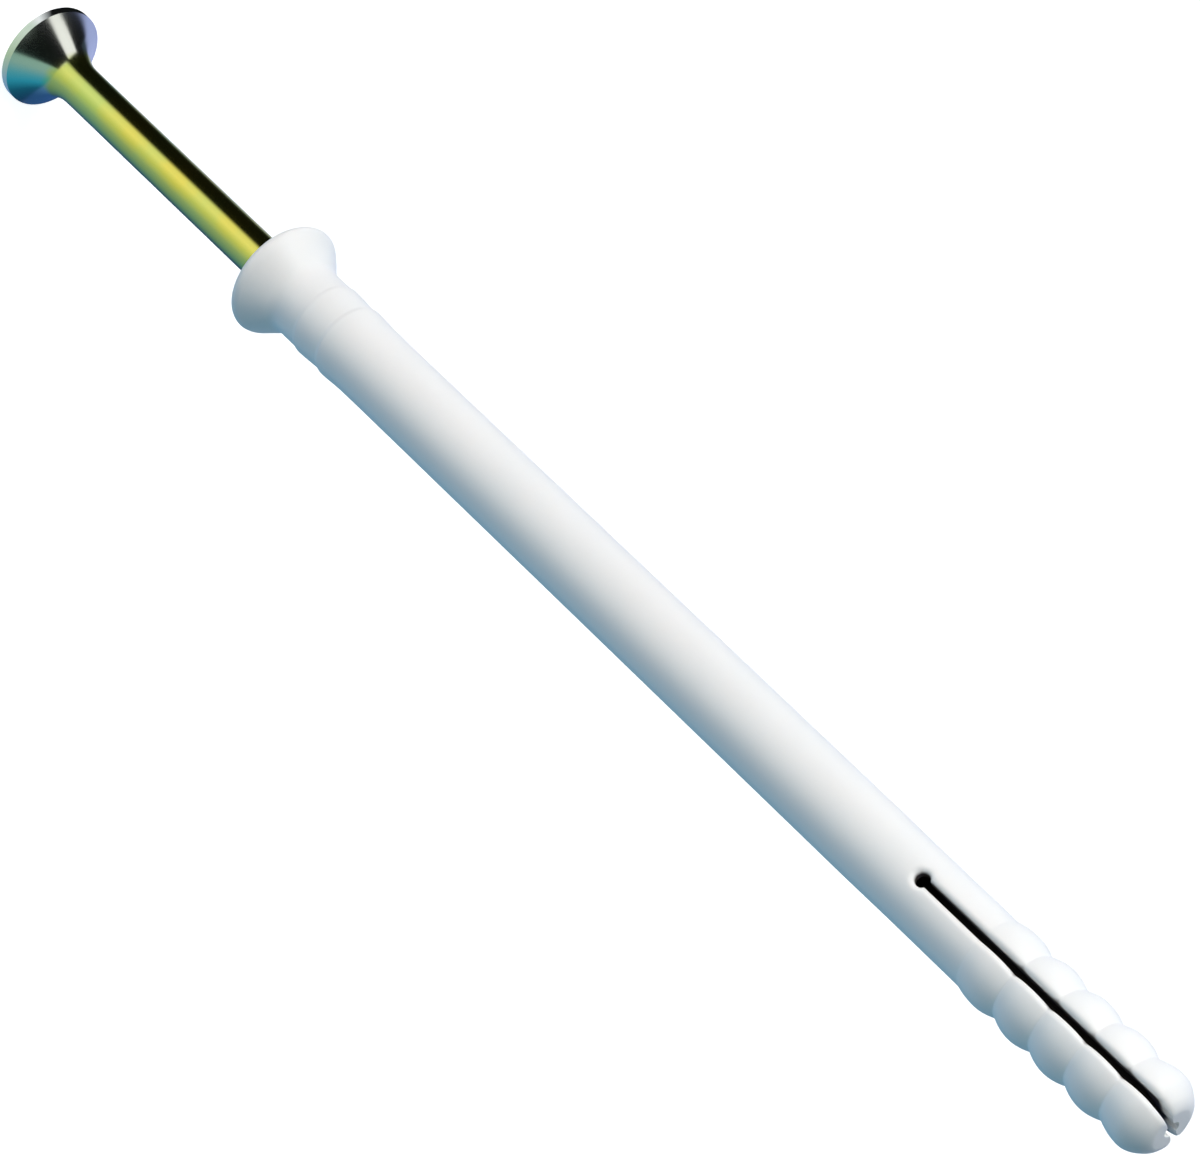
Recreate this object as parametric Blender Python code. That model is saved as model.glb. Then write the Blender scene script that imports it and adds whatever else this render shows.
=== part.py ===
"""Frame fixing for an 8 mm hole, 120 mm long.

A moulded sleeve with a rounded collar, neck rings, a slit expansion zone with
ring bulges and an open tip holds a countersunk drive screw, which stands part
of the way out of it, as supplied. A round rod rolls when it lies, so the pair
stands on the flat top of the screw's head. Metres, +Z up and towards the tip.
"""
import math

import bmesh
import bpy

MM = 0.001
FACETS = 36                         # sides of every turned surface

# Drive screw, measured from the flat top of its head
SCREW_STANDOUT = 37.7 * MM          # top of the head above the collar's top face
SHANK_DIAMETER = 4.2 * MM
THREAD_DIAMETER = 4.4 * MM          # over the crests of the fine thread
THREAD_LENGTH = 56.0 * MM
THREAD_LEAD_IN = 0.6 * MM           # chamfer from the shank up to the crests
POINT_LENGTH = 4.5 * MM
POINT_DIAMETER = 1.6 * MM           # blunt end of the point
HEAD_DIAMETER = 10.5 * MM
HEAD_LAND = 0.9 * MM                # straight edge under the flat top
HEAD_EDGE = 0.15 * MM               # chamfer round the flat top
HEAD_FLARE = 5.1 * MM               # height of the concave underside
FLARE_POWER = 2.26                  # how fast the underside spreads to its edge

# Cross recess in the head
RECESS_SPAN = 5.6 * MM
RECESS_WING = 1.5 * MM
RECESS_DEPTH = 2.4 * MM
RECESS_DRAFT = 0.55                 # size at the bottom against the mouth

# Fits of the screw in the sleeve
BORE_CLEARANCE = 0.25 * MM          # thread crest to bore, on the radius
SEAT_CLEARANCE = 0.35 * MM          # underside of the driven head to the countersink
DRIVEN_STANDOUT = 1.3 * MM          # what the driven head keeps above the collar
POINT_CLEARANCE = 0.8 * MM          # driven point to the tip's wall

# Sleeve, measured from the collar's top face
SLEEVE_LENGTH = 120.0 * MM
SLEEVE_WALL = 1.2 * MM              # shank of the sleeve, round the bore
COLLAR_LIP = 0.7 * MM               # mouth of the countersink to the rim
COLLAR_ROUND = 0.65 * MM
COLLAR_BAND = 0.55 * MM             # nearly straight rim below the rounding
COLLAR_DRAFT = 0.08 * MM            # what the band loses on the radius
COLLAR_CONE = 2.85 * MM             # height of the underside, down to the shank
NECK_START = 0.75 * MM              # collar's foot to the first ring
NECK_RINGS = 2
NECK_RING_PITCH = 3.65 * MM
NECK_RING_RISE = 0.05 * MM
NECK_GROOVE = 0.06 * MM
LEG_RELIEF = 0.05 * MM              # the legs are thinner than the shank
LEG_RELIEF_LENGTH = 8.0 * MM

# Expansion zone
BULGES = 5
BULGE_PITCH = 4.24 * MM
BULGE_RISE = 0.25 * MM              # crest over the shank
VALLEY_DEPTH = 0.27 * MM            # valley under the shank
BULGE_FULLNESS = 0.85               # 1 is a sine arch, less is fuller
SLIT_WIDTH = 0.8 * MM
SLIT_LEAD = 7.48 * MM               # keyhole ahead of the first bulge
KEYHOLE_DIAMETER = 1.5 * MM

# Tip
TIP_BULGE_LENGTH = 4.85 * MM        # the last bulge, which is the sleeve's nose
TIP_FACE_DIAMETER = 5.0 * MM
TIP_WALL = 1.4 * MM
TIP_CONE = 1.6 * MM
TIP_HOLE_DIAMETER = 1.6 * MM

# Sizes that follow
head_radius = HEAD_DIAMETER / 2
shank_radius = SHANK_DIAMETER / 2
thread_radius = THREAD_DIAMETER / 2
bore_radius = thread_radius + BORE_CLEARANCE
sleeve_radius = bore_radius + SLEEVE_WALL
leg_radius = sleeve_radius - LEG_RELIEF
crest_radius = sleeve_radius + BULGE_RISE
valley_radius = sleeve_radius - VALLEY_DEPTH
tip_radius = TIP_FACE_DIAMETER / 2
screw_length = SLEEVE_LENGTH - TIP_WALL - POINT_CLEARANCE + DRIVEN_STANDOUT
zone_start = SLEEVE_LENGTH - TIP_BULGE_LENGTH - (BULGES - 1) * BULGE_PITCH
keyhole_x = zone_start - SLIT_LEAD
seat_offset = DRIVEN_STANDOUT - HEAD_LAND
countersink_depth = HEAD_FLARE - seat_offset


def flare_radius(depth):
    """Radius of the head's underside, depth below the edge of the head."""
    share = min(max(depth / HEAD_FLARE, 0.0), 1.0)
    return shank_radius + (head_radius - shank_radius) * (1 - share) ** FLARE_POWER


def countersink_radius(depth):
    """Radius of the countersink, which follows the driven head's underside."""
    return max(bore_radius, flare_radius(depth + seat_offset) + SEAT_CLEARANCE)


mouth_radius = countersink_radius(0.0)
collar_radius = mouth_radius + COLLAR_LIP


def spaced(start, end, steps):
    """Evenly spaced values from start to end, both included."""
    return [start + (end - start) * i / steps for i in range(steps + 1)]


def material(name, color, roughness, metallic):
    made = bpy.data.materials.new(name)
    made.use_nodes = True
    shader = made.node_tree.nodes["Principled BSDF"]
    shader.inputs["Base Color"].default_value = (*color, 1.0)
    shader.inputs["Roughness"].default_value = roughness
    shader.inputs["Metallic"].default_value = metallic
    made.diffuse_color = (*color, 1.0)
    return made


def new_object(name, bm, parent, paint=None, sharp_angle=30.0):
    bmesh.ops.recalc_face_normals(bm, faces=bm.faces)
    mesh = bpy.data.meshes.new(name)
    bm.to_mesh(mesh)
    bm.free()
    mesh.shade_smooth()
    mesh.set_sharp_from_angle(angle=math.radians(sharp_angle))
    if paint:
        mesh.materials.append(paint)
    made = bpy.data.objects.new(name, mesh)
    bpy.context.collection.objects.link(made)
    made.parent = parent
    return made


def turned(profile, closed):
    """Spin a profile of (x, radius) points about X."""
    bm = bmesh.new()
    points = [bm.verts.new((x, 0.0, radius)) for x, radius in profile]
    pairs = list(zip(points, points[1:]))
    if closed:
        pairs.append((points[-1], points[0]))
    edges = [bm.edges.new(pair) for pair in pairs]
    bmesh.ops.spin(bm, geom=points + edges, axis=(1, 0, 0), cent=(0, 0, 0),
                   steps=FACETS, angle=2 * math.pi)
    bmesh.ops.remove_doubles(bm, verts=bm.verts, dist=1e-6)
    bmesh.ops.dissolve_degenerate(bm, edges=bm.edges, dist=1e-6)
    return bm


def cut(target, cutter):
    """Subtract a cutter, which stays as a hidden guide."""
    modifier = target.modifiers.new(cutter.name, "BOOLEAN")
    modifier.operation = "DIFFERENCE"
    modifier.solver = "EXACT"
    modifier.object = cutter
    cutter.hide_render = True
    cutter.display_type = "WIRE"


def collar_profile():
    """Lip, rounded rim, short band and the cone that runs down to the shank."""
    points = [(0.0, mouth_radius)]
    for angle in spaced(0.0, math.pi / 2, 4):
        points.append((COLLAR_ROUND * (1 - math.cos(angle)),
                       collar_radius - COLLAR_ROUND * (1 - math.sin(angle))))
    points.append((COLLAR_ROUND + COLLAR_BAND, collar_radius - COLLAR_DRAFT))
    points.append((COLLAR_ROUND + COLLAR_BAND + COLLAR_CONE, sleeve_radius))
    return points


def neck_profile():
    """Shallow rings under the collar, each between two grooves."""
    start = COLLAR_ROUND + COLLAR_BAND + COLLAR_CONE + NECK_START
    points = [(start, sleeve_radius - NECK_GROOVE)]
    for ring in range(NECK_RINGS):
        for share in spaced(0.0, 1.0, 4)[1:]:
            rise = (NECK_RING_RISE + NECK_GROOVE) * math.sin(math.pi * share)
            points.append((start + NECK_RING_PITCH * (ring + share),
                           sleeve_radius - NECK_GROOVE + rise))
    points.append((points[-1][0] + NECK_START, sleeve_radius))
    return points


def expansion_profile():
    """Plain legs and the row of ring bulges, the last of which is the nose."""
    points = [(keyhole_x - LEG_RELIEF_LENGTH, sleeve_radius)]
    points.append((keyhole_x, leg_radius))
    points.append((zone_start, leg_radius))
    for bulge in range(BULGES):
        nose = bulge == BULGES - 1
        length = TIP_BULGE_LENGTH if nose else BULGE_PITCH
        for share in spaced(0.0, 1.0, 8)[1:]:
            arch = math.sin(math.pi * share) if share < 1 else 0.0
            foot = leg_radius if bulge == 0 and share < 0.5 else valley_radius
            if nose and share > 0.5:
                foot = tip_radius
            else:
                arch = arch ** BULGE_FULLNESS
            points.append((zone_start + BULGE_PITCH * bulge + length * share,
                           foot + (crest_radius - foot) * arch))
    return points


def bore_profile():
    """Tip hole, its cone, the bore and the countersink, from the tip upwards."""
    hole = TIP_HOLE_DIAMETER / 2
    points = [(SLEEVE_LENGTH, hole)]
    points.append((SLEEVE_LENGTH - TIP_WALL, hole))
    points.append((SLEEVE_LENGTH - TIP_WALL - TIP_CONE, bore_radius))
    for depth in spaced(countersink_depth, 0.0, 7)[:-1]:
        points.append((depth, countersink_radius(depth)))
    return points


def make_sleeve(parent):
    profile = collar_profile() + neck_profile() + expansion_profile() + bore_profile()
    nylon = material("white_nylon", (0.80, 0.81, 0.80), 0.42, 0.0)
    sleeve = new_object("expansion_sleeve", turned(profile, closed=True), parent, nylon)
    cut(sleeve, slit_cutter(parent))
    return sleeve


def slit_cutter(parent):
    """One blade across both walls, with the round keyholes at its blind end."""
    reach = crest_radius * 1.5
    blade_end = SLEEVE_LENGTH + SLIT_WIDTH
    outline = [(blade_end, SLIT_WIDTH / 2), (blade_end, -SLIT_WIDTH / 2)]
    half_angle = math.asin(SLIT_WIDTH / KEYHOLE_DIAMETER)
    for angle in spaced(-half_angle, -2 * math.pi + half_angle, 14):
        outline.append((keyhole_x + KEYHOLE_DIAMETER / 2 * math.cos(angle),
                        KEYHOLE_DIAMETER / 2 * math.sin(angle)))
    bm = bmesh.new()
    low = [bm.verts.new((x, y, -reach)) for x, y in outline]
    face = bm.faces.new(low)
    grown = bmesh.ops.extrude_face_region(bm, geom=[face])
    top = [item for item in grown["geom"] if isinstance(item, bmesh.types.BMVert)]
    bmesh.ops.translate(bm, verts=top, vec=(0, 0, 2 * reach))
    return new_object("slit_cutter", bm, parent)


def screw_profile():
    """Flat head, concave underside, shank, thread crests and blunt point."""
    thread_start = screw_length - THREAD_LENGTH
    points = [(0.0, 0.0), (0.0, head_radius - HEAD_EDGE), (HEAD_EDGE, head_radius)]
    for share in spaced(0.0, 1.0, 9):
        points.append((HEAD_LAND + HEAD_FLARE * share, flare_radius(HEAD_FLARE * share)))
    points.append((thread_start, shank_radius))
    points.append((thread_start + THREAD_LEAD_IN, thread_radius))
    points.append((screw_length - POINT_LENGTH, thread_radius))
    points.append((screw_length, POINT_DIAMETER / 2))
    points.append((screw_length, 0.0))
    return points


def recess_cutter(parent):
    """Tapered cross, lofted from above the head's top face down to its bottom."""
    margin = HEAD_EDGE
    levels = []
    bm = bmesh.new()
    for depth in (-margin, RECESS_DEPTH):
        size = 1 - (1 - RECESS_DRAFT) * depth / RECESS_DEPTH
        wing = RECESS_WING / 2 * size
        reach = RECESS_SPAN / 2 * size
        ring = []
        for quarter in range(4):
            turn = quarter * math.pi / 2
            for y, z in ((reach, -wing), (reach, wing), (wing, wing)):
                ring.append(bm.verts.new((depth,
                                          y * math.cos(turn) - z * math.sin(turn),
                                          y * math.sin(turn) + z * math.cos(turn))))
        levels.append(ring)
    top, bottom = levels
    for i in range(len(top)):
        j = (i + 1) % len(top)
        bm.faces.new((top[i], top[j], bottom[j], bottom[i]))
    bm.faces.new(top)
    bm.faces.new(bottom)
    return new_object("recess_cutter", bm, parent)


def make_screw(parent):
    zinc = material("yellow_zinc_steel", (0.62, 0.52, 0.22), 0.25, 1.0)
    screw = new_object("drive_screw", turned(screw_profile(), closed=False), parent, zinc)
    screw.location.x = -SCREW_STANDOUT
    cutter = recess_cutter(parent)
    cutter.location.x = -SCREW_STANDOUT
    cut(screw, cutter)
    return screw


def stand_on_head(root):
    """Turn the axis upright, tip up, with the slit to the front and the head on z = 0."""
    root.rotation_euler = (0.0, -math.pi / 2, math.pi / 2)
    root.location.z = SCREW_STANDOUT


def main():
    for old in list(bpy.data.objects):
        bpy.data.objects.remove(old, do_unlink=True)
    root = bpy.data.objects.new("fixing_axis", None)
    bpy.context.collection.objects.link(root)
    make_sleeve(root)
    make_screw(root)
    stand_on_head(root)


main()
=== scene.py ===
import math

import bmesh
import bpy
import numpy as np
from mathutils import Matrix, Vector


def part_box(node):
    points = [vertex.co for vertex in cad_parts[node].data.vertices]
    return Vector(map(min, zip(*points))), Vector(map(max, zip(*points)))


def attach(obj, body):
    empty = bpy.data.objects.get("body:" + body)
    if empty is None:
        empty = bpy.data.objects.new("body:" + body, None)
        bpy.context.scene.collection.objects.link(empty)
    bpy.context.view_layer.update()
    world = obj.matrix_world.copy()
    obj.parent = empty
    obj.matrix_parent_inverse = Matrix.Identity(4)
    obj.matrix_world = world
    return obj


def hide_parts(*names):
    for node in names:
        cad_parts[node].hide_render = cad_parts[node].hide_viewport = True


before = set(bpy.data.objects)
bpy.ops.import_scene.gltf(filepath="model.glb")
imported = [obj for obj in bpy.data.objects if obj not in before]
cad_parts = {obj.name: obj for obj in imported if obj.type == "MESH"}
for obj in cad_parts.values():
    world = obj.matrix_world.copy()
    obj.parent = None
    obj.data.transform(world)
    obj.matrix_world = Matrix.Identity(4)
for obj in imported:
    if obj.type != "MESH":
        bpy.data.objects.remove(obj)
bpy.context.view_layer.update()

MM = 0.001

# The frame: the axis is +Z, the head's flat top is the lowest, the tip the highest
screw_low, screw_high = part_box("drive_screw")
sleeve_low, sleeve_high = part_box("expansion_sleeve")
head_z = screw_low.z
collar_z = sleeve_low.z
sleeve_length = sleeve_high.z - sleeve_low.z
screw_length = screw_high.z - screw_low.z
collar_radius = sleeve_high.x
head_radius = screw_high.x

# Dimensions repeated from the part's source
SHANK_RADIUS = 2.1 * MM
THREAD_RADIUS = 2.2 * MM
THREAD_LENGTH = 56.0 * MM
POINT_LENGTH = 4.5 * MM
POINT_RADIUS = 0.8 * MM
HEAD_LAND = 0.9 * MM
HEAD_FLARE = 5.1 * MM
FLARE_POWER = 2.26
RECESS_SPAN = 5.6 * MM
RECESS_WING = 1.5 * MM
RECESS_DEPTH = 2.4 * MM
RECESS_DRAFT = 0.55
BORE_RADIUS = 2.45 * MM
SLEEVE_RADIUS = 3.65 * MM
SEAT_OFFSET = 0.4 * MM              # driven head's edge above the collar's top face
SEAT_CLEARANCE = 0.35 * MM
COLLAR_ROUND = 0.65 * MM
COLLAR_BAND = 0.55 * MM
COLLAR_DRAFT = 0.08 * MM
COLLAR_CONE = 2.85 * MM
NECK_RINGS = 2
LEG_RADIUS = 3.6 * MM
LEG_RELIEF_LENGTH = 8.0 * MM
BULGES = 5
BULGE_PITCH = 4.24 * MM
TIP_BULGE_LENGTH = 4.85 * MM
CREST_RADIUS = 3.9 * MM
VALLEY_RADIUS = 3.38 * MM
SLIT_LEAD = 7.48 * MM
TIP_RADIUS = 2.5 * MM
TIP_WALL = 1.4 * MM
TIP_CONE = 1.6 * MM
TIP_HOLE_RADIUS = 0.8 * MM

# What is finer than the source
BULGE_FULLNESS = 0.8                # 1 is a sine arch, less is fuller
VALLEY_SOFTNESS = 0.12              # 0 is a sharp valley between two bulges
COLLAR_LIP_ROUND = 0.85 * MM
COLLAR_EDGE = 0.3 * MM              # rounding between the band and the cone
COLLAR_FILLET = 0.7 * MM            # rounding between the cone and the neck
NECK_LEAD = 2.95 * MM               # plain neck before the first ring and after the last
NECK_RISE = 0.02 * MM               # the neck is this much thicker than the shank
NECK_RING_PITCH = 3.45 * MM
NECK_RING_RISE = 0.13 * MM
NECK_RING_FLANK = 0.16              # share of the pitch in which a ring rises
SLIT_WIDTH = 0.66 * MM              # between the rounded lips
KEYHOLE_RADIUS = 0.66 * MM
LIP_ROUND = 0.62 * MM               # rounding along the outer edges of the slit
LIP_BORDER = 1.35                   # lip roundings from the slit to the even columns
MOUTH_RING = 0.04 * MM              # the skin starts this far outside the countersink
TIP_EDGE_ROUND = 0.6 * MM
HEAD_EDGE_ROUND = 0.15 * MM
RECESS_OVERRUN = 0.3 * MM           # the recess's cutter starts this far outside the head
THREAD_PITCH = 1.25 * MM
THREAD_ROOT_RADIUS = 1.93 * MM
THREAD_FLANK = 0.2                  # share of the pitch in which the thread rises
THREAD_RUN_OUT = 2                  # turns over which it grows to its full height

# How finely the meshes are divided
SLEEVE_SECTORS = 60                 # per half of the sleeve, between the slits
SCREW_SECTORS = 96
LIP_ROWS = 8                        # round a lip of the slit
WALL_ROWS = 6                       # through the wall, at the tip's face and in the slit
COLLAR_LIP_ROWS = 14
NECK_RING_ROWS = 32                 # per ring
NECK_END_ROWS = 7
SHANK_ROWS = 40
KEYHOLE_ROWS = 26
LEG_ROWS = 14
LEG_GAP = 0.05 * MM                 # from the keyhole's last row to the legs' first
BULGE_ROWS = 28                     # per bulge
TIP_EDGE_ROWS = 7
BORE_ROWS = 16
COUNTERSINK_ROWS = 26
HEAD_EDGE_ROWS = 7
FLARE_ROWS = 40
SCREW_SHANK_ROWS = 24
THREAD_ROWS = 10                    # per turn
WELD_DISTANCE = 2e-7
ZERO_LENGTH = 1e-8
SLEEVE_SHARP_ANGLE = 38.0           # edges that turn by more degrees stay sharp
SCREW_SHARP_ANGLE = 32.0

tip_z = collar_z + sleeve_length
zone_start = sleeve_length - TIP_BULGE_LENGTH - (BULGES - 1) * BULGE_PITCH
keyhole_middle = zone_start - SLIT_LEAD
slit_start = keyhole_middle - KEYHOLE_RADIUS
cone_start = sleeve_length - TIP_WALL - TIP_CONE
hole_start = sleeve_length - TIP_WALL
countersink_depth = HEAD_FLARE - SEAT_OFFSET


def link_object(name, data):
    made = bpy.data.objects.new(name, data)
    bpy.context.scene.collection.objects.link(made)
    return made


def shade(mesh, sharp_angle):
    """Smooth shading, except at edges that turn by more degrees than the angle."""
    mesh.shade_smooth()
    mesh.set_sharp_from_angle(angle=math.radians(sharp_angle))


class Surface:
    """Collects grids of points, whose shared borders are welded afterwards."""

    def __init__(self):
        self.points = []
        self.faces = []
        self.count = 0

    def add_grid(self, grid, closed=False):
        rows, columns = grid.shape[:2]
        index = self.count + np.arange(rows * columns).reshape(rows, columns)
        if closed:
            index = np.concatenate([index, index[:, :1]], axis=1)
        quads = np.stack([index[:-1, :-1], index[1:, :-1], index[1:, 1:], index[:-1, 1:]], axis=-1)
        self.points.append(grid.reshape(-1, 3))
        self.faces.extend(quads.reshape(-1, 4).tolist())
        self.count += rows * columns

    def add_cap(self, ring):
        self.points.append(ring)
        self.faces.append(list(range(self.count, self.count + len(ring))))
        self.count += len(ring)

    def mesh(self, name):
        made = bpy.data.meshes.new(name)
        made.from_pydata(np.concatenate(self.points).tolist(), [], self.faces)
        return made


def smooth_mesh(name, surface, sharp_angle):
    """One welded, smooth-shaded mesh object from a surface."""
    mesh = surface.mesh(name)
    bm = bmesh.new()
    bm.from_mesh(mesh)
    bmesh.ops.remove_doubles(bm, verts=bm.verts, dist=WELD_DISTANCE)
    bmesh.ops.dissolve_degenerate(bm, edges=bm.edges, dist=ZERO_LENGTH)
    bmesh.ops.recalc_face_normals(bm, faces=bm.faces)
    bm.to_mesh(mesh)
    bm.free()
    shade(mesh, sharp_angle)
    return link_object(name, mesh)


# Sleeve: a station is the distance from the collar's top face towards the tip
def flare_radius(depth):
    share = np.clip(depth / HEAD_FLARE, 0.0, 1.0)
    return SHANK_RADIUS + (head_radius - SHANK_RADIUS) * (1 - share) ** FLARE_POWER


def countersink_radius(depth):
    return np.maximum(BORE_RADIUS, flare_radius(depth + SEAT_OFFSET) + SEAT_CLEARANCE)


mouth_radius = float(countersink_radius(0.0)) + MOUTH_RING


def leg_radius(station):
    relief = np.clip((station - keyhole_middle) / LEG_RELIEF_LENGTH + 1, 0.0, 1.0)
    relief = relief * relief * (3 - 2 * relief)
    return SLEEVE_RADIUS + (LEG_RADIUS - SLEEVE_RADIUS) * relief


def bulge_radius(station):
    """Row of arches with soft valleys; the last one falls to the tip's face."""
    bulge = np.clip(np.floor((station - zone_start) / BULGE_PITCH), 0, BULGES - 1)
    last = bulge == BULGES - 1
    length = np.where(last, TIP_BULGE_LENGTH, BULGE_PITCH)
    share = np.clip((station - zone_start - bulge * BULGE_PITCH) / length, 0.0, 1.0)
    nose = last & (share > 0.5)
    foot = np.where((bulge == 0) & (share < 0.5), LEG_RADIUS, VALLEY_RADIUS)
    foot = np.where(nose, TIP_RADIUS, foot)
    sine = np.abs(np.sin(np.pi * share))
    soft = np.hypot(sine, VALLEY_SOFTNESS) - VALLEY_SOFTNESS
    soft = soft / (math.hypot(1.0, VALLEY_SOFTNESS) - VALLEY_SOFTNESS)
    arch = np.where(nose, sine, soft ** BULGE_FULLNESS)
    return foot + (CREST_RADIUS - foot) * arch


def outer_radius(station):
    radius = np.where(station < zone_start, leg_radius(station), bulge_radius(station))
    edge = np.clip((station - sleeve_length) / TIP_EDGE_ROUND + 1, 0.0, 1.0)
    return radius - TIP_EDGE_ROUND * (1 - np.sqrt(1 - edge ** 2))


def inner_radius(station):
    cone = np.clip((station - cone_start) / TIP_CONE, 0.0, 1.0)
    return BORE_RADIUS + (TIP_HOLE_RADIUS - BORE_RADIUS) * cone


def slit_half_width(station):
    """Half the slit's opening: nothing before it, a round keyhole, then a parallel slit."""
    offset = station - keyhole_middle
    round_part = np.sqrt(np.maximum(KEYHOLE_RADIUS ** 2 - offset ** 2, 0.0))
    past = np.where(offset > 0, SLIT_WIDTH / 2, 0.0)
    return np.maximum(round_part, past)


def slit_distance(lateral, station):
    """How far a point of the skin is from the slit's outline."""
    offset = station - keyhole_middle
    to_keyhole = np.hypot(offset, lateral) - KEYHOLE_RADIUS
    to_slit = np.where(offset > 0, lateral - SLIT_WIDTH / 2, 1.0)
    return np.maximum(np.minimum(to_keyhole, to_slit), 0.0)


def lip_drop(distance):
    near = np.clip(LIP_ROUND - distance, 0.0, LIP_ROUND)
    return LIP_ROUND - np.sqrt(LIP_ROUND ** 2 - near ** 2)


# Distances from the slit of the columns beside it
lip_steps = np.linspace(0.0, math.pi / 2, LIP_ROWS)
edge_offsets = np.concatenate([LIP_ROUND * (1 - np.cos(lip_steps)), [LIP_BORDER * LIP_ROUND]])


def shell_rows(stations, radii, lipped):
    """Points and radii of the half shell at x > 0, one row for each station, from -Y to +Y."""
    offsets = edge_offsets if lipped else edge_offsets / 2
    lateral = slit_half_width(stations)[:, None] + offsets[None, :]
    radius = radii[:, None] + np.zeros_like(lateral)
    if lipped:
        radius = radius - lip_drop(slit_distance(lateral, stations[:, None]))
    near = np.arcsin(np.clip(lateral / radius, 0.0, 1.0))
    share = np.linspace(0.0, 1.0, SLEEVE_SECTORS + 1)[None, 1:-1]
    last = near[:, -1:]
    far = last + (math.pi - 2 * last) * share
    far_radius = radii[:, None] + np.zeros_like(far)
    if lipped:
        across = np.sin(far) * far_radius
        far_radius = far_radius - lip_drop(slit_distance(across, stations[:, None]))
    angle = np.concatenate([near, far, math.pi - near[:, ::-1]], axis=1)
    radius = np.concatenate([radius, far_radius, radius[:, ::-1]], axis=1)
    height = collar_z + stations[:, None] + np.zeros_like(angle)
    return np.stack([radius * np.sin(angle), -radius * np.cos(angle), height], axis=-1), radius


def between(start, end, steps):
    """Values from start to end, closer together at both ends."""
    share = (1 - np.cos(np.linspace(0.0, math.pi, steps + 1))) / 2
    return start + (end - start) * share


def slit_stations():
    """Stations of the rows from just before the keyhole to the tip."""
    blind = slit_start - LIP_ROUND * (1 - np.cos(lip_steps[::-1]))
    mouth_angle = math.pi - math.asin(SLIT_WIDTH / 2 / KEYHOLE_RADIUS)
    turn = np.linspace(0.0, mouth_angle, KEYHOLE_ROWS)
    keyhole = keyhole_middle - KEYHOLE_RADIUS * np.cos(turn)
    legs = np.linspace(keyhole[-1] + LEG_GAP, zone_start, LEG_ROWS)
    starts = zone_start + BULGE_PITCH * np.arange(BULGES)
    ends = np.append(starts[1:], sleeve_length)
    zone = [between(start, end, BULGE_ROWS) for start, end in zip(starts, ends)]
    edge_turn = np.linspace(0.0, math.pi / 2, TIP_EDGE_ROWS)
    edge = sleeve_length - TIP_EDGE_ROUND * (1 - np.sin(edge_turn))
    marks = [cone_start, hole_start]
    return np.unique(np.round(np.concatenate([blind, keyhole, legs, *zone, edge, marks]), 9))


def rounded(points, reaches, steps=10):
    """A line through the points, curved at each inner one from the given reach before it."""
    points = [np.array(point) for point in points]
    line = [points[0]]
    for before, corner, after, reach in zip(points, points[1:], points[2:], reaches):
        arrive = corner + (before - corner) * reach / np.linalg.norm(before - corner)
        leave = corner + (after - corner) * reach / np.linalg.norm(after - corner)
        for share in np.linspace(0.0, 1.0, steps + 1):
            line.append((1 - share) ** 2 * arrive + 2 * share * (1 - share) * corner
                        + share ** 2 * leave)
    line.append(points[-1])
    return line


def collar_line():
    """Rounded lip, short band, conical underside and its fillet onto the neck."""
    turn = np.linspace(0.0, math.pi / 2, COLLAR_LIP_ROWS)
    lip = [(0.0, mouth_radius)]
    rim = list(zip(COLLAR_LIP_ROUND * (1 - np.cos(turn)),
                   collar_radius - COLLAR_LIP_ROUND * (1 - np.sin(turn))))
    band = COLLAR_ROUND + COLLAR_BAND
    foot = band + COLLAR_CONE
    neck = SLEEVE_RADIUS + NECK_RISE
    under = rounded([rim[-1], (band, collar_radius - COLLAR_DRAFT), (foot, neck),
                     (foot + NECK_LEAD, neck)], [COLLAR_EDGE, COLLAR_FILLET])
    return lip + rim + under[1:]


def body_profile():
    """Stations and radii from the collar's lip to where the slit's rows begin."""
    collar = collar_line()
    start = collar[-1][0]
    neck_radius = SLEEVE_RADIUS + NECK_RISE
    ring = np.linspace(0.0, NECK_RINGS, NECK_RINGS * NECK_RING_ROWS + 1)[1:]
    share = ring % 1.0
    phase = np.where(share < NECK_RING_FLANK, share / NECK_RING_FLANK,
                     1 + (share - NECK_RING_FLANK) / (1 - NECK_RING_FLANK))
    wave = (1 - np.cos(np.pi * phase)) / 2
    neck = list(zip(start + NECK_RING_PITCH * ring, neck_radius + NECK_RING_RISE * wave))
    ease = np.linspace(0.0, 1.0, NECK_END_ROWS)[1:]
    after = list(zip(neck[-1][0] + NECK_LEAD * ease,
                     SLEEVE_RADIUS + NECK_RISE * (1 + np.cos(np.pi * ease)) / 2))
    shank = np.linspace(after[-1][0], slit_start - LIP_ROUND, SHANK_ROWS)[1:]
    return np.array(collar + neck + after + list(zip(shank, leg_radius(shank))))


def bore_profile():
    """Stations and radii from the slit's first row back to the mouth."""
    bore = np.linspace(slit_start - LIP_ROUND, countersink_depth, BORE_ROWS)
    points = [(station, BORE_RADIUS) for station in bore]
    depth = np.linspace(countersink_depth, 0.0, COUNTERSINK_ROWS)[1:]
    points += list(zip(depth, countersink_radius(depth)))
    points.append((0.0, mouth_radius))
    return np.array(points)


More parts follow.
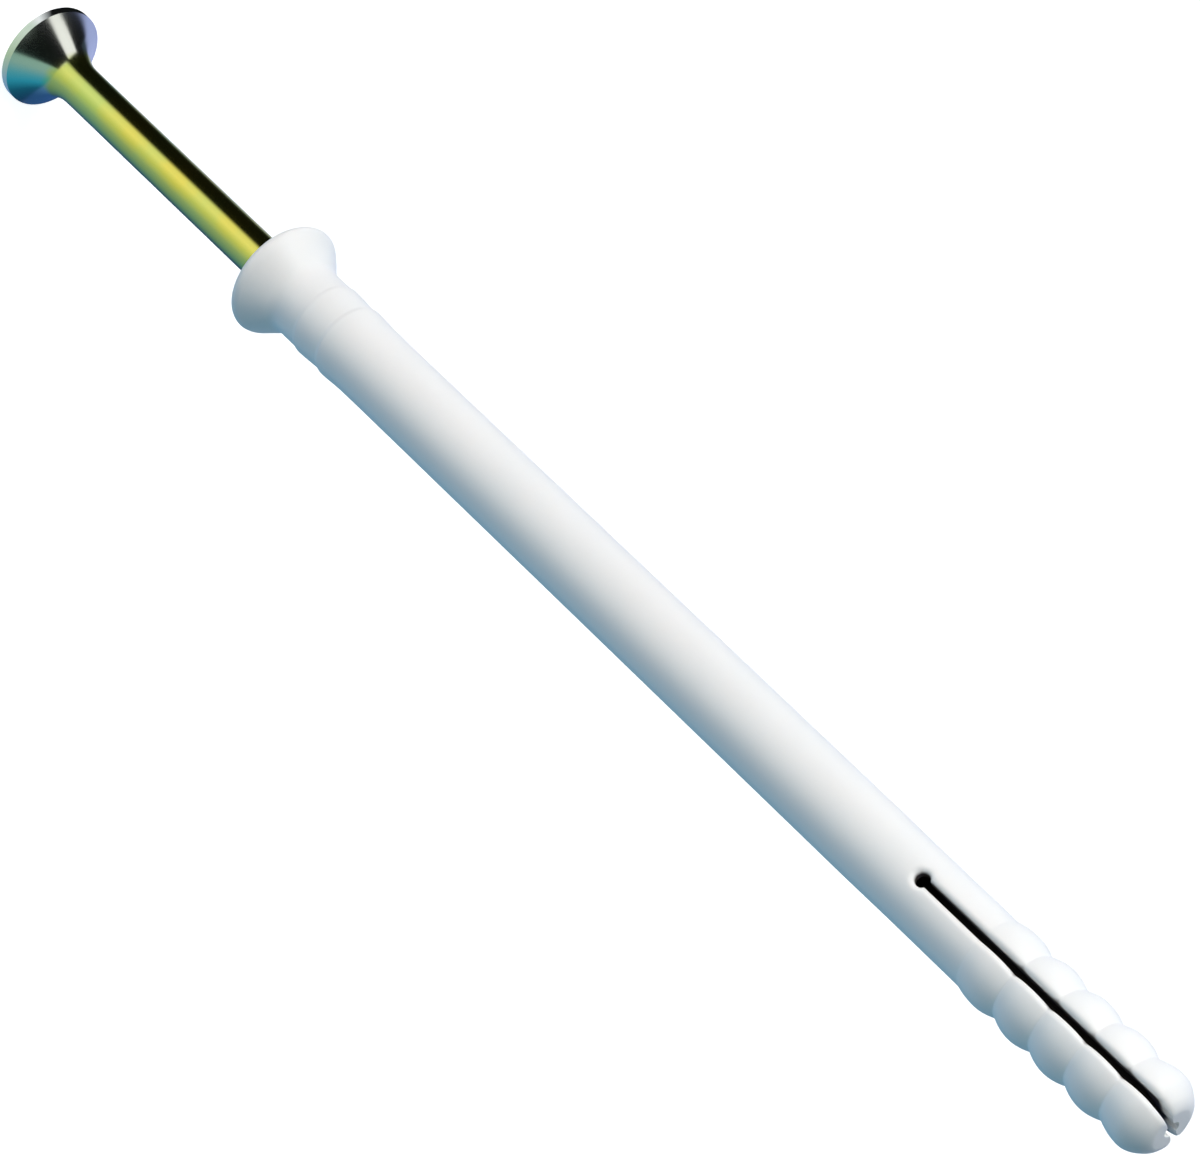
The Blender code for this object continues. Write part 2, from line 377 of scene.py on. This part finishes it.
def tip_face(skin, lining):
    """Flat end of a leg, between the last rows of its skin and its lining."""
    steps = np.linspace(0.0, 1.0, WALL_ROWS)[:, None]
    radius_out, radius_in = (np.hypot(row[:, 0], row[:, 1]) for row in (skin, lining))
    angle_out, angle_in = (np.arctan2(row[:, 0], -row[:, 1]) for row in (skin, lining))
    radius = radius_out + (radius_in - radius_out) * steps
    angle = angle_out + (angle_in - angle_out) * steps
    lateral = skin[:, 0] + (lining[:, 0] - skin[:, 0]) * steps
    straight = np.arcsin(np.clip(lateral / radius, 0.0, 1.0))
    straight = np.where(skin[:, 1] > 0, math.pi - straight, straight)
    columns = len(edge_offsets)
    angle[:, :columns] = straight[:, :columns]
    angle[:, -columns:] = straight[:, -columns:]
    return np.stack([radius * np.sin(angle), -radius * np.cos(angle),
                     np.full_like(radius, tip_z)], axis=-1)


def slit_wall(skin_radius, lining_radius, stations, side):
    """Flat wall of the slit, from the skin in to the bore; side is -1 at the front."""
    steps = np.linspace(0.0, 1.0, WALL_ROWS)
    radius = skin_radius[:, None] + (lining_radius - skin_radius)[:, None] * steps
    x = slit_half_width(stations)[:, None] + np.zeros_like(radius)
    z = collar_z + stations[:, None] + np.zeros_like(radius)
    return np.stack([x, side * np.sqrt(radius ** 2 - x ** 2), z], axis=-1)


def make_sleeve():
    surface = Surface()
    mirror = np.array([-1.0, 1.0, 1.0])
    body = body_profile()
    slit = slit_stations()
    bore = bore_profile()
    skin, skin_radius = shell_rows(slit, outer_radius(slit), lipped=True)
    lining, lining_radius = shell_rows(slit, inner_radius(slit), lipped=False)
    body_skin = shell_rows(body[:, 0], body[:, 1], lipped=True)[0]
    bore_lining = shell_rows(bore[:, 0], bore[:, 1], lipped=False)[0]
    # Both run to the mouth's circle, where only shared points weld
    bore_lining[-1] = body_skin[0]
    grids = [body_skin, skin, lining, bore_lining, tip_face(skin[-1], lining[-1])]
    rows = np.arange(np.nonzero(slit_half_width(slit) > 0)[0][0] - 1, len(slit))
    for column, side in ((0, -1), (-1, 1)):
        grids.append(slit_wall(skin_radius[rows, column], lining_radius[rows, column],
                               slit[rows], side))
    for grid in grids:
        surface.add_grid(grid)
        surface.add_grid(grid * mirror)
    return smooth_mesh("nylon_sleeve", surface, SLEEVE_SHARP_ANGLE)


# Screw: a station is the distance from the head's flat top towards the point
thread_start = screw_length - THREAD_LENGTH


def screw_profile():
    """Stations and radii from the edge of the flat top to where the thread starts."""
    turn = np.linspace(0.0, math.pi / 2, HEAD_EDGE_ROWS)
    edge = list(zip(HEAD_EDGE_ROUND * (1 - np.cos(turn)),
                    head_radius - HEAD_EDGE_ROUND * (1 - np.sin(turn))))
    flare = HEAD_FLARE * np.linspace(0.0, 1.0, FLARE_ROWS)
    under = list(zip(HEAD_LAND + flare, flare_radius(flare)))
    shank = np.linspace(HEAD_LAND + HEAD_FLARE, thread_start, SCREW_SHANK_ROWS)[1:]
    return np.array(edge + under + [(station, SHANK_RADIUS) for station in shank])


def thread_grid(angles):
    """Right-hand sawtooth thread, steep towards the head, down to the blunt point."""
    turns = THREAD_LENGTH / THREAD_PITCH
    stations = np.linspace(thread_start, screw_length, int(turns * THREAD_ROWS) + 1)
    along = stations - thread_start
    phase = along[:, None] / THREAD_PITCH - angles[None, :] / (2 * math.pi)
    phase = phase - np.floor(phase)
    tooth = np.where(phase < THREAD_FLANK, phase / THREAD_FLANK, (1 - phase) / (1 - THREAD_FLANK))
    ramp = np.clip(along / (THREAD_RUN_OUT * THREAD_PITCH), 0.0, 1.0)[:, None]
    root = SHANK_RADIUS + (THREAD_ROOT_RADIUS - SHANK_RADIUS) * ramp
    radius = root + (THREAD_RADIUS - root) * tooth * ramp
    taper = np.clip((stations - screw_length + POINT_LENGTH) / POINT_LENGTH, 0.0, 1.0)[:, None]
    envelope = THREAD_RADIUS + (POINT_RADIUS - THREAD_RADIUS) * taper
    radius = np.minimum(radius, envelope)
    radius[0, :] = SHANK_RADIUS
    radius[-1, :] = POINT_RADIUS
    height = head_z + stations[:, None] + np.zeros_like(radius)
    return np.stack([radius * np.cos(angles), radius * np.sin(angles), height], axis=-1)


def recess_cutter():
    """Tapered cross whose four wings run to a small bottom."""
    bm = bmesh.new()
    levels = []
    for depth in (-RECESS_OVERRUN, RECESS_DEPTH):
        size = 1 - (1 - RECESS_DRAFT) * depth / RECESS_DEPTH
        wing = RECESS_WING / 2 * size
        reach = RECESS_SPAN / 2 * size
        ring = []
        for quarter in range(4):
            turn = Matrix.Rotation(quarter * math.pi / 2, 3, "Z")
            for x, y in ((reach, -wing), (reach, wing), (wing, wing)):
                ring.append(bm.verts.new(turn @ Vector((x, y, head_z + depth))))
        levels.append(ring)
    top, bottom = levels
    for i in range(len(top)):
        j = (i + 1) % len(top)
        bm.faces.new((top[i], top[j], bottom[j], bottom[i]))
    bm.faces.new(top)
    bm.faces.new(bottom)
    bmesh.ops.recalc_face_normals(bm, faces=bm.faces)
    mesh = bpy.data.meshes.new("recess_cutter")
    bm.to_mesh(mesh)
    bm.free()
    return link_object("recess_cutter", mesh)


def make_screw():
    surface = Surface()
    angles = np.linspace(0.0, 2 * math.pi, SCREW_SECTORS, endpoint=False)
    profile = screw_profile()
    radius = profile[:, 1][:, None]
    height = head_z + profile[:, 0][:, None] + np.zeros((1, SCREW_SECTORS))
    upper = np.stack([radius * np.cos(angles), radius * np.sin(angles), height], axis=-1)
    thread = thread_grid(angles)
    surface.add_cap(upper[0])
    surface.add_grid(upper, closed=True)
    surface.add_grid(thread, closed=True)
    surface.add_cap(thread[-1])
    screw = smooth_mesh("zinc_screw", surface, SCREW_SHARP_ANGLE)
    cutter = recess_cutter()
    modifier = screw.modifiers.new("recess", "BOOLEAN")
    modifier.operation = "DIFFERENCE"
    modifier.solver = "EXACT"
    modifier.object = cutter
    graph = bpy.context.evaluated_depsgraph_get()
    cut_mesh = bpy.data.meshes.new_from_object(screw.evaluated_get(graph))
    screw.modifiers.clear()
    screw.data = cut_mesh
    shade(cut_mesh, SCREW_SHARP_ANGLE)
    bpy.data.objects.remove(cutter, do_unlink=True)
    return screw


# Materials
NYLON_COOL = (0.80, 0.815, 0.81)
NYLON_WARM = (0.83, 0.825, 0.81)
# Painted shade: the colour the nylon turns to far inside the slit and the bore
NYLON_PAINTED_SHADE = (0.05, 0.04, 0.035)
PAINTED_SHADE_START_RADIUS = 3.4 * MM        # painted shade darkens the nylon from this radius inwards
PAINTED_SHADE_FULL_RADIUS = 2.9 * MM
PAINTED_SHADE_START_TIP = 0.9 * MM           # below the tip's face
PAINTED_SHADE_FULL_TIP = 1.6 * MM
PAINTED_SHADE_FULL_MOUTH = 3 * MM            # beyond the countersink's foot
ZINC_GREEN = (0.62, 0.72, 0.19)
ZINC_YELLOW = (0.82, 0.72, 0.13)
# Painted reflection tint on the head's flare: pale at -X and greener at +X, after the colours the
# flare mirrors
PAINTED_REFLECTION_PALE = (0.80, 0.82, 0.80)
PAINTED_REFLECTION_GREEN = (0.55, 0.66, 0.55)
PAINTED_REFLECTION_FULL_HEIGHT = 3.2 * MM        # above the head's flat top
PAINTED_REFLECTION_END_HEIGHT = 4.3 * MM
PAINTED_REFLECTION_BORDER = 0.8 * MM             # each side of the axis, where its two tints meet
PAINTED_REFLECTION_WANDER = 3 * MM               # how far the clouds shift both of its borders
WHITE = (1.0, 1.0, 1.0)


def new_material(name):
    made = bpy.data.materials.new(name)
    made.use_nodes = True
    return made, made.node_tree, made.node_tree.nodes["Principled BSDF"]


def node(tree, kind, **values):
    made = tree.nodes.new(kind)
    for name, value in values.items():
        if name in made.inputs:
            made.inputs[name].default_value = value
        else:
            setattr(made, name, value)
    return made


def coordinates(tree, kind):
    """A texture coordinate, and its X, Y and Z."""
    place = node(tree, "ShaderNodeTexCoord").outputs[kind]
    axes = node(tree, "ShaderNodeSeparateXYZ")
    tree.links.new(place, axes.inputs["Vector"])
    return place, *(axes.outputs[name] for name in "XYZ")


def noise(tree, place, scale, detail):
    made = node(tree, "ShaderNodeTexNoise", Scale=scale, Detail=detail)
    tree.links.new(place, made.inputs["Vector"])
    return made.outputs["Fac"]


def ramp_node(tree, stops):
    """A colour ramp from (position, colour) stops."""
    made = node(tree, "ShaderNodeValToRGB")
    elements = made.color_ramp.elements
    while len(elements) < len(stops):
        elements.new(0.5)
    for element, (position, color) in zip(elements, stops):
        element.position = position
        element.color = (*color, 1.0)
    return made


def masked(tree, source, start, end):
    """0 at start and 1 at end, held outside them and smooth between."""
    made = node(tree, "ShaderNodeMapRange", interpolation_type="SMOOTHSTEP")
    made.inputs["From Min"].default_value = start
    made.inputs["From Max"].default_value = end
    tree.links.new(source, made.inputs["Value"])
    return made.outputs["Result"]


def math_node(tree, operation, *sources):
    made = node(tree, "ShaderNodeMath", operation=operation)
    for socket, source in zip(made.inputs, sources):
        if isinstance(source, float):
            socket.default_value = source
        else:
            tree.links.new(source, socket)
    return made.outputs["Value"]


def mixed(tree, factor, first, second):
    """Colour mix; a plain tuple is a colour of its own."""
    made = node(tree, "ShaderNodeMix", data_type="RGBA")
    tree.links.new(factor, made.inputs["Factor"])
    # The node's colours are its inputs 6 and 7 and its output 2
    for socket, source in zip((made.inputs[6], made.inputs[7]), (first, second)):
        if isinstance(source, tuple):
            socket.default_value = (*source, 1.0)
        else:
            tree.links.new(source, socket)
    return made.outputs[2]


def white_nylon():
    """Satin white nylon, with painted shade darkening it far inside the slit and the bore."""
    made, tree, shader = new_material("white_nylon")
    shader.inputs["Roughness"].default_value = 0.45
    shader.inputs["IOR"].default_value = 1.53
    shader.inputs["Subsurface Weight"].default_value = 0.15
    shader.inputs["Subsurface Radius"].default_value = (1.0, 0.9, 0.8)
    shader.inputs["Subsurface Scale"].default_value = 0.5 * MM
    place, x, y, z = coordinates(tree, "Object")
    squares = math_node(tree, "ADD", math_node(tree, "MULTIPLY", x, x),
                        math_node(tree, "MULTIPLY", y, y))
    radius = math_node(tree, "SQRT", squares)
    painted_shade = masked(tree, radius, PAINTED_SHADE_START_RADIUS, PAINTED_SHADE_FULL_RADIUS)
    below_tip = masked(tree, z, tip_z - PAINTED_SHADE_START_TIP, tip_z - PAINTED_SHADE_FULL_TIP)
    painted_shade = math_node(tree, "MULTIPLY", painted_shade, below_tip)
    mouth_z = collar_z + countersink_depth
    past_mouth = masked(tree, z, mouth_z, mouth_z + PAINTED_SHADE_FULL_MOUTH)
    painted_shade = math_node(tree, "MULTIPLY", painted_shade, past_mouth)
    tone = ramp_node(tree, [(0.3, NYLON_COOL), (0.7, NYLON_WARM)])
    tree.links.new(noise(tree, place, scale=90.0, detail=3.0), tone.inputs["Fac"])
    # Painted shade: the nylon's tone darkens to near black inside the slit and the bore
    color = mixed(tree, painted_shade, tone.outputs["Color"], NYLON_PAINTED_SHADE)
    tree.links.new(color, shader.inputs["Base Color"])
    bump = node(tree, "ShaderNodeBump", Strength=0.05, Distance=0.02 * MM)
    tree.links.new(noise(tree, place, scale=2600.0, detail=2.0), bump.inputs["Height"])
    tree.links.new(bump.outputs["Normal"], shader.inputs["Normal"])
    return made


def yellow_zinc():
    """Smooth passivated zinc, yellow along the shank, with a painted reflection tint on the head:
    pale, and greener at +X.
    """
    made, tree, shader = new_material("yellow_zinc_steel")
    shader.inputs["Metallic"].default_value = 1.0
    shader.inputs["Roughness"].default_value = 0.17
    place, x, _, z = coordinates(tree, "Object")
    cloud = noise(tree, place, scale=150.0, detail=3.0)
    yellow = ramp_node(tree, [(0.35, ZINC_GREEN), (0.62, ZINC_YELLOW)])
    tree.links.new(cloud, yellow.inputs["Fac"])
    wander = math_node(tree, "MULTIPLY", math_node(tree, "SUBTRACT", cloud, 0.5), PAINTED_REFLECTION_WANDER)
    side = masked(tree, math_node(tree, "ADD", x, wander), -PAINTED_REFLECTION_BORDER, PAINTED_REFLECTION_BORDER)
    head = masked(tree, math_node(tree, "ADD", z, wander),
                  head_z + PAINTED_REFLECTION_END_HEIGHT, head_z + PAINTED_REFLECTION_FULL_HEIGHT)
    # Painted reflection tint: pale at -X, greener at +X
    painted_reflection = mixed(tree, side, PAINTED_REFLECTION_PALE, PAINTED_REFLECTION_GREEN)
    color = mixed(tree, head, yellow.outputs["Color"], painted_reflection)
    tree.links.new(color, shader.inputs["Base Color"])
    return made


def seen_directly(tree):
    """1 for camera, glossy and transmission rays, which see the white background."""
    path = node(tree, "ShaderNodeLightPath")
    seen = math_node(tree, "MAXIMUM", path.outputs["Is Camera Ray"], path.outputs["Is Glossy Ray"])
    return math_node(tree, "MAXIMUM", seen, path.outputs["Is Transmission Ray"])


def floor_material():
    """White floor that keeps the fixing's soft shadow."""
    made, tree, shader = new_material("studio_floor")
    shader.inputs["Base Color"].default_value = (0.8, 0.8, 0.8, 1.0)
    shader.inputs["Roughness"].default_value = 0.9
    shader.inputs["Specular IOR Level"].default_value = 0.0
    glow = node(tree, "ShaderNodeEmission", Color=(*WHITE, 1.0), Strength=0.8)
    total = node(tree, "ShaderNodeAddShader")
    mix = node(tree, "ShaderNodeMixShader")
    output = tree.nodes["Material Output"]
    tree.links.new(shader.outputs["BSDF"], total.inputs[0])
    tree.links.new(glow.outputs["Emission"], total.inputs[1])
    tree.links.new(seen_directly(tree), mix.inputs["Fac"])
    tree.links.new(shader.outputs["BSDF"], mix.inputs[1])
    tree.links.new(total.outputs["Shader"], mix.inputs[2])
    tree.links.new(mix.outputs["Shader"], output.inputs["Surface"])
    return made


def card_material(name, stops, lean=0.0):
    """Plain glow by bearing in degrees, which turns by lean degrees per metre of height."""
    made, tree, _ = new_material(name)
    _, x, y, z = coordinates(tree, "Object")
    turn = math_node(tree, "DIVIDE", math_node(tree, "ARCTAN2", y, x), 2 * math.pi)
    share = math_node(tree, "ADD", turn, 0.5)
    shift = math_node(tree, "MULTIPLY", z, lean / 360)
    share = math_node(tree, "SUBTRACT", share, shift)
    ramp = ramp_node(tree, [((bearing + 180) / 360, color) for bearing, color in stops])
    glow = node(tree, "ShaderNodeEmission", Strength=1.0)
    tree.links.new(share, ramp.inputs["Fac"])
    tree.links.new(ramp.outputs["Color"], glow.inputs["Color"])
    tree.links.new(glow.outputs["Emission"], tree.nodes["Material Output"].inputs["Surface"])
    return made


# Studio: in front is -Y, where the camera is; left is -X, with the fixing upright
def square(name, width, paint):
    mesh = bpy.data.meshes.new(name)
    half = width / 2
    corners = [(-half, -half, 0), (half, -half, 0), (half, half, 0), (-half, half, 0)]
    mesh.from_pydata(corners, [], [(0, 1, 2, 3)])
    mesh.materials.append(paint)
    return link_object(name, mesh)


def hang_lamp(data, aim, direction, distance):
    """Hangs a lamp that isn't mirrored, facing a height on the fixing's axis."""
    made = link_object(data.name, data)
    direction = Vector(direction).normalized()
    made.location = Vector((0.0, 0.0, aim)) + direction * distance
    made.rotation_mode = "QUATERNION"
    made.rotation_quaternion = (-direction).to_track_quat("-Z", "Y")
    made.visible_camera = False
    made.visible_glossy = False


def area_light(name, aim, direction, distance, size, watts, color):
    """A square soft lamp."""
    data = bpy.data.lights.new(name, "AREA")
    data.shape = "SQUARE"
    data.size = size
    data.energy = watts
    data.color = color
    hang_lamp(data, aim, direction, distance)


def spot_light(name, aim, direction, distance, reach, watts, color):
    """A narrow lamp that lights only what lies within its reach of the point it faces."""
    data = bpy.data.lights.new(name, "SPOT")
    data.spot_size = 2 * math.atan(reach / distance)
    data.spot_blend = 1.0
    data.shadow_soft_size = 0.02
    data.energy = watts
    data.color = color
    hang_lamp(data, aim, direction, distance)


# Cards: their bearings are in degrees, 0 at +X and -90 in front
DARK = (0.005, 0.006, 0.006)
LILAC = (0.40, 0.46, 0.78)
WINDOW = (1.0, 1.0, 0.93)
TABLE_LIFT = 0.01 * MM              # keeps the table's card clear of the floor
CARD_COLUMNS = 97


def reflection_card(made):
    """A card that only reflections see."""
    made.visible_camera = False
    made.visible_diffuse = False
    made.visible_transmission = False
    made.visible_volume_scatter = False
    made.visible_shadow = False


def table_card():
    """The table as the bare shank mirrors it: dark left, pale front, blue right, lilac back."""
    paint = card_material("table_card", [
        (-180, DARK), (-117, DARK), (-101, (0.9, 0.93, 0.95)), (-78, WHITE),
        (-47, (0.64, 0.73, 0.60)), (-12, (0.29, 0.46, 0.72)), (30, (0.12, 0.28, 0.60)),
        (62, (0.03, 0.10, 0.30)), (85, (0.03, 0.08, 0.25)), (98, LILAC), (143, LILAC),
        (152, (0.05, 0.07, 0.09)), (170, DARK), (180, DARK)])
    card = square("table_card", width=3.0, paint=paint)
    card.location.z = head_z + TABLE_LIFT
    reflection_card(card)


def card_strip(name, radius, foot, top, height, paint):
    """Upright strip of a cylinder between two bearings at its foot and two at its top."""
    bearing = np.radians([foot, top])
    share = np.linspace(0.0, 1.0, CARD_COLUMNS)
    rows = bearing[:, :1] + (bearing[:, 1:] - bearing[:, :1]) * share
    level = np.array([[0.0], [height]]) + np.zeros_like(rows)
    surface = Surface()
    surface.add_grid(np.stack([radius * np.cos(rows), radius * np.sin(rows), level], axis=-1))
    mesh = surface.mesh(name)
    mesh.materials.append(paint)
    card = link_object(name, mesh)
    card.location.z = head_z
    reflection_card(card)


def wall_card():
    """Round wall: dark at the left and in front, teal at the right and lilac behind."""
    paint = card_material("wall_card", [
        (-180, DARK), (-66, DARK), (-60, (0.40, 0.57, 0.52)), (-35, (0.35, 0.52, 0.50)),
        (-5, (0.10, 0.42, 0.58)), (15, (0.03, 0.36, 0.60)), (40, (0.01, 0.12, 0.24)),
        (70, (0.01, 0.05, 0.15)), (88, LILAC), (140, LILAC), (147, DARK), (180, DARK)],
        lean=27.0)
    card_strip("wall_card", radius=1.0, foot=(-180, 180), top=(-180, 180), height=3.0,
               paint=paint)


def window_card():
    """Bright window at the left, wide at its foot and narrow at its top, for the head."""
    paint = card_material("window_card", [(-180, WINDOW), (-100, WINDOW)])
    card_strip("window_card", radius=0.95, foot=(-122, -169), top=(-175.3, -176.7), height=2.5,
               paint=paint)


def studio_world():
    """Soft daylight: brighter from below, and bluer from behind and from the right."""
    world = bpy.data.worlds.new("studio")
    world.use_nodes = True
    tree = world.node_tree
    _, x, y, z = coordinates(tree, "Generated")
    across = math_node(tree, "ADD", math_node(tree, "MULTIPLY", x, 0.3),
                       math_node(tree, "MULTIPLY", y, 0.4))
    behind = math_node(tree, "ADD", across, 0.5)
    above = math_node(tree, "ADD", math_node(tree, "MULTIPLY", z, 0.5), 0.5)
    below_tint = mixed(tree, behind, (1.02, 0.86, 0.82), (0.12, 0.68, 0.99))
    above_tint = mixed(tree, behind, (0.26, 0.23, 0.23), (0.01, 0.04, 0.05))
    fill = tree.nodes["Background"]
    tree.links.new(mixed(tree, above, below_tint, above_tint), fill.inputs["Color"])
    fill.inputs["Strength"].default_value = 1.0
    white = node(tree, "ShaderNodeBackground", Color=(*WHITE, 1.0), Strength=1.0)
    mix = node(tree, "ShaderNodeMixShader")
    tree.links.new(seen_directly(tree), mix.inputs["Fac"])
    tree.links.new(fill.outputs["Background"], mix.inputs[1])
    tree.links.new(white.outputs["Background"], mix.inputs[2])
    tree.links.new(mix.outputs["Shader"], tree.nodes["World Output"].inputs["Surface"])
    bpy.context.scene.world = world


def photo_camera():
    """The photograph's view: from the tip's side, turned until the tip is at the lower right."""
    data = bpy.data.cameras.new("photo_camera")
    data.sensor_width = 36.0
    data.lens = 142.98
    data.clip_start = 0.02
    data.clip_end = 20.0
    made = link_object("photo_camera", data)
    target = Vector((-0.153, -0.042, 84.874)) * MM
    distance = 414.52               # in millimetres
    back = Vector((0.18244, -0.84390, 0.50453)).normalized()
    up = Vector((-0.63263, -0.49357, -0.59680))
    right = up.cross(back).normalized()
    up = back.cross(right)
    turn = Matrix((right, up, back)).transposed()
    made.matrix_world = Matrix.Translation(target + back * distance * MM) @ turn.to_4x4()
    bpy.context.scene.camera = made


sleeve = make_sleeve()
sleeve.data.materials.append(white_nylon())
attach(sleeve, "sleeve")
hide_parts("expansion_sleeve")

screw = make_screw()
screw.data.materials.append(yellow_zinc())
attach(screw, "screw")
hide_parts("drive_screw")

floor = square("studio_floor", width=6.0, paint=floor_material())
floor.location.z = head_z
floor.visible_diffuse = False
table_card()
wall_card()
window_card()

middle_z = (head_z + tip_z) / 2
zone_z = (collar_z + zone_start + tip_z) / 2
daylight = (1.0, 1.02, 1.0)
area_light("key_lamp", aim=middle_z, direction=(-0.612, -0.691, 0.383), distance=1.5,
           size=0.7, watts=15.4, color=daylight)
area_light("zone_lamp", aim=zone_z, direction=(-0.612, -0.691, 0.2), distance=0.06,
           size=0.03, watts=0.0045, color=daylight)
spot_light("collar_lamp", aim=collar_z + COLLAR_CONE, direction=(-0.4, -0.45, 0.8),
           distance=0.4, reach=0.01, watts=3.0, color=WHITE)
area_light("side_lamp", aim=middle_z, direction=(-0.983, 0.06, 0.174), distance=1.5,
           size=0.7, watts=3.5, color=(0.25, 0.6, 1.0))
area_light("back_lamp", aim=middle_z, direction=(-0.1, 0.99, 0.05), distance=1.5,
           size=0.8, watts=9.0, color=(0.95, 0.98, 1.0))
studio_world()
photo_camera()
bpy.context.scene.view_settings.view_transform = "Standard"
